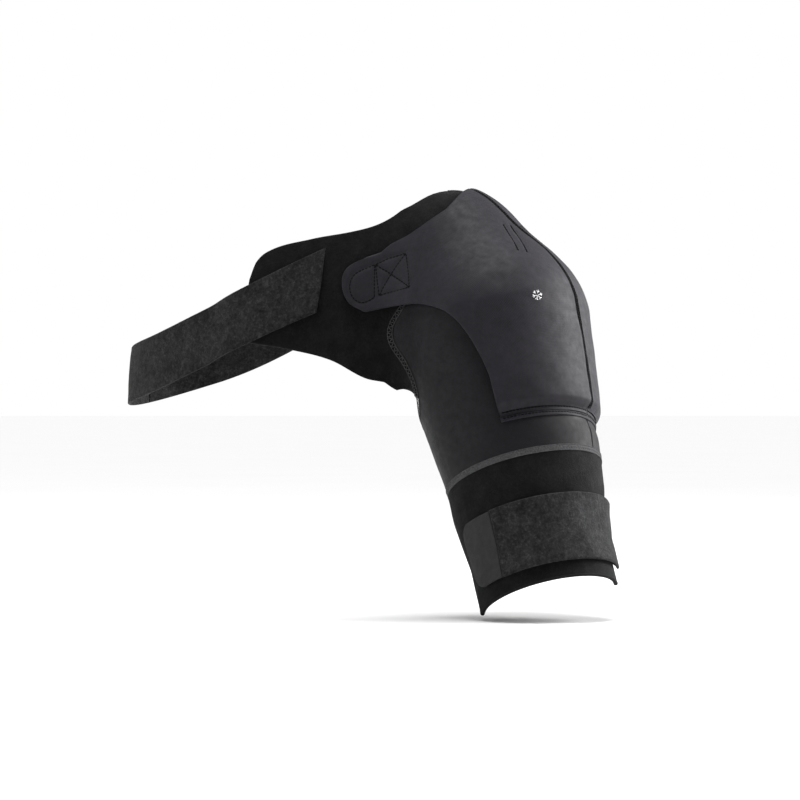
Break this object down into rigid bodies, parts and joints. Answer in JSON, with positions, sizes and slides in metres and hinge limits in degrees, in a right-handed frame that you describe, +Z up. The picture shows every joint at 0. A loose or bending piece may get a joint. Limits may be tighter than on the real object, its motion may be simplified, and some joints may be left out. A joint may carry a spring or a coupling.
{
  "type": "cold compression wrap",
  "caption": "Shoulder cold compression wrap: neoprene sleeve with a gel pack pocket, hook-and-loop tabs, an arm cuff strap and a chest strap.",
  "frame": {"origin": "centre of the wearer's left shoulder joint", "axes": "+X to the wearer's left, -Y to the front, +Z up; the arm hangs 20 degrees out and 13 degrees forward"},
  "size_m": [0.4617, 0.2187, 0.3448],
  "materials": {
    "loop_fabric": "black brushed loop face on neoprene",
    "smooth_neoprene": "charcoal knit-faced neoprene with a soft sheen",
    "loop_elastic": "dark grey loop-faced elastic, fuzzy",
    "hook_tape": "black moulded hook tape",
    "strap_tab": "matte grey welded finger tab",
    "seam_thread": "grey flatlock thread",
    "bound_edge": "black knitted edge binding",
    "pack_film": "pale blue clear film, welded at the rim",
    "gel": "blue gel"
  },
  "bodies": {
    "wrap": {"chest_panel": "loop_fabric", "back_panel": "loop_fabric", "shoulder_ridge_seam": "seam_thread", "armhole_seam_front": "seam_thread", "armhole_seam_back": "seam_thread", "sleeve_front_panel": "smooth_neoprene", "sleeve_back_panel": "smooth_neoprene", "underarm_seam": "seam_thread", "cuff_seam": "seam_thread", "cuff_band": "loop_fabric", "cuff_hem": "bound_edge", "cap_front_panel": "smooth_neoprene", "cap_back_panel": "smooth_neoprene", "cap_outer_seam": "smooth_neoprene", "cap_dart_seam": "smooth_neoprene", "pocket_bottom_hem": "smooth_neoprene", "arm_strap_band": "loop_elastic", "chest_strap_band": "loop_elastic"},
    "front_tab": {"front_tab": "smooth_neoprene", "front_tab_hook": "hook_tape"},
    "back_tab": {"back_tab": "smooth_neoprene", "back_tab_hook": "hook_tape"},
    "arm_strap_end": {"arm_strap_end": "loop_elastic", "arm_strap_tab": "strap_tab", "arm_strap_hook": "hook_tape"},
    "chest_strap_front": {"chest_strap_front_end": "loop_elastic", "chest_strap_front_hook": "hook_tape"},
    "chest_strap_back": {"chest_strap_back_end": "loop_elastic", "chest_strap_back_hook": "hook_tape"},
    "cold_pack": {"pack_outer_film": "pack_film", "pack_inner_film": "pack_film", "gel_filling": "gel"}
  },
  "joints": [
    {"name": "front_tab_peel", "type": "hinge", "parent": "wrap", "child": "front_tab", "pos_m": [-0.05343, -0.06769, -0.0057], "axis": [-0.1441, 0.2172, 0.9654], "range_deg": [0, 80]},
    {"name": "back_tab_peel", "type": "hinge", "parent": "wrap", "child": "back_tab", "pos_m": [-0.0534, 0.06886, -0.0108], "axis": [0.156, 0.0213, -0.9875], "range_deg": [0, 80]},
    {"name": "arm_strap_peel", "type": "hinge", "parent": "wrap", "child": "arm_strap_end", "pos_m": [0.10604, -0.10617, -0.2029], "axis": [-0.3077, 0.1724, 0.9357], "range_deg": [0, 70]},
    {"name": "chest_strap_front_peel", "type": "hinge", "parent": "wrap", "child": "chest_strap_front", "pos_m": [-0.1673, -0.10149, -0.03642], "axis": [-0.0073, -0.1402, -0.9901], "range_deg": [0, 60]},
    {"name": "chest_strap_back_peel", "type": "hinge", "parent": "wrap", "child": "chest_strap_back", "pos_m": [-0.15869, 0.09499, -0.00037], "axis": [-0.0077, -0.2213, 0.9752], "range_deg": [0, 60]},
    {"name": "cold_pack_slide", "type": "hinge", "parent": "wrap", "child": "cold_pack", "pos_m": [0, 0, 0], "axis": [0.3333, -0.225, -0.9156], "range_deg": [0, 60]}
  ]
}
